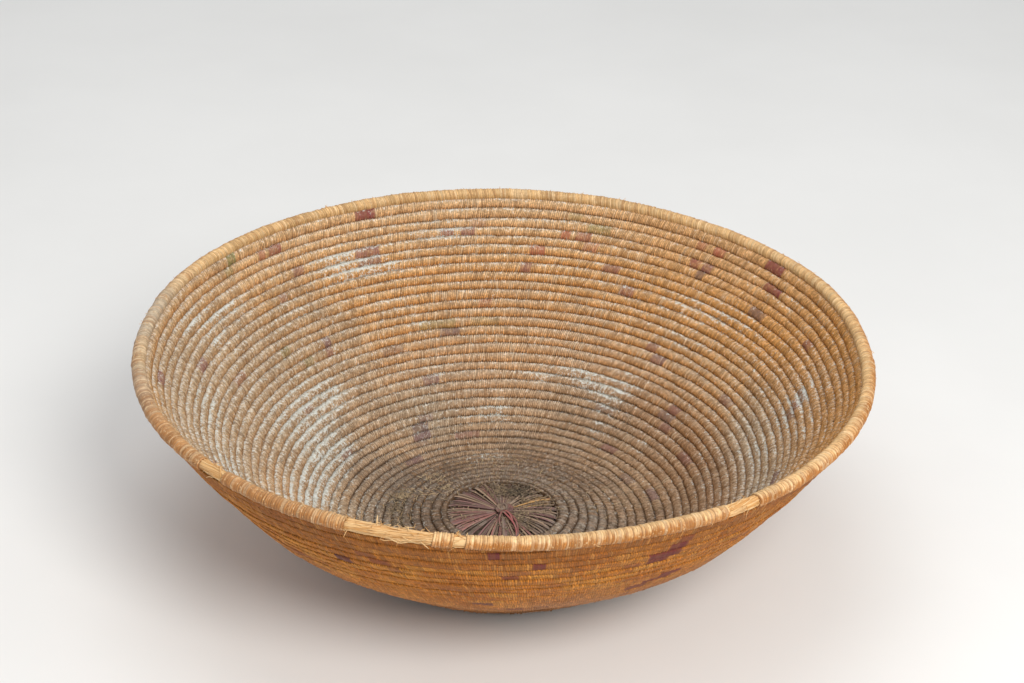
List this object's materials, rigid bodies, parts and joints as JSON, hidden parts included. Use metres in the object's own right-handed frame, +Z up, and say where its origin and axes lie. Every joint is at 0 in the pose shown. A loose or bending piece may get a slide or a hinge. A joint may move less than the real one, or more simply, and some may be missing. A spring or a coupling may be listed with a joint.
{
  "type": "winnowing basket",
  "caption": "Round shallow basket coiled from stitched straw, with a bound rim, for tossing grain to part it from the chaff.",
  "frame": {"origin": "on the floor under the middle of the bowl", "axes": "+Z up out of the bowl's mouth, +X to the right and +Y away from a person who faces the side with the worn rim"},
  "size_m": [0.5588, 0.5588, 0.1723],
  "materials": {
    "coil_straw": "matte",
    "rim_wrap": "satin",
    "bare_straw": "matte",
    "start_strip": "satin",
    "start_knot": "matte"
  },
  "bodies": {
    "root": {"coil_round_01": "coil_straw", "coil_round_02": "coil_straw", "coil_round_03": "coil_straw", "coil_round_04": "coil_straw", "coil_round_05": "coil_straw", "coil_round_06": "coil_straw", "coil_round_07": "coil_straw", "coil_round_08": "coil_straw", "coil_round_09": "coil_straw", "coil_round_10": "coil_straw", "coil_round_11": "coil_straw", "coil_round_12": "coil_straw", "coil_round_13": "coil_straw", "coil_round_14": "coil_straw", "coil_round_15": "coil_straw", "coil_round_16": "coil_straw", "coil_round_17": "coil_straw", "coil_round_18": "coil_straw", "coil_round_19": "coil_straw", "coil_round_20": "coil_straw", "coil_round_21": "coil_straw", "coil_round_22": "coil_straw", "coil_round_23": "coil_straw", "coil_round_24": "coil_straw", "coil_round_25": "coil_straw", "coil_round_26": "coil_straw", "coil_round_27": "coil_straw", "coil_round_28": "coil_straw", "coil_round_29": "coil_straw", "coil_round_30": "coil_straw", "coil_round_31": "coil_straw", "coil_round_32": "coil_straw", "coil_round_33": "coil_straw", "coil_round_34": "coil_straw", "coil_round_35": "coil_straw", "coil_round_36": "coil_straw", "coil_round_37": "coil_straw", "coil_round_38": "coil_straw", "rim_bundle": "bare_straw", "rim_wrap_back": "rim_wrap", "rim_wrap_left": "rim_wrap", "rim_wrap_front": "rim_wrap", "start_bundle": "bare_straw", "start_knot": "start_knot", "start_strip_01": "start_strip", "start_strip_02": "start_strip", "start_strip_03": "start_strip", "start_strip_04": "start_strip", "start_strip_05": "start_strip", "start_strip_06": "start_strip", "start_strip_07": "start_strip", "start_strip_08": "start_strip", "start_strip_09": "start_strip", "start_strip_10": "start_strip", "start_strip_11": "start_strip", "start_strip_12": "start_strip"}
  },
  "joints": []
}
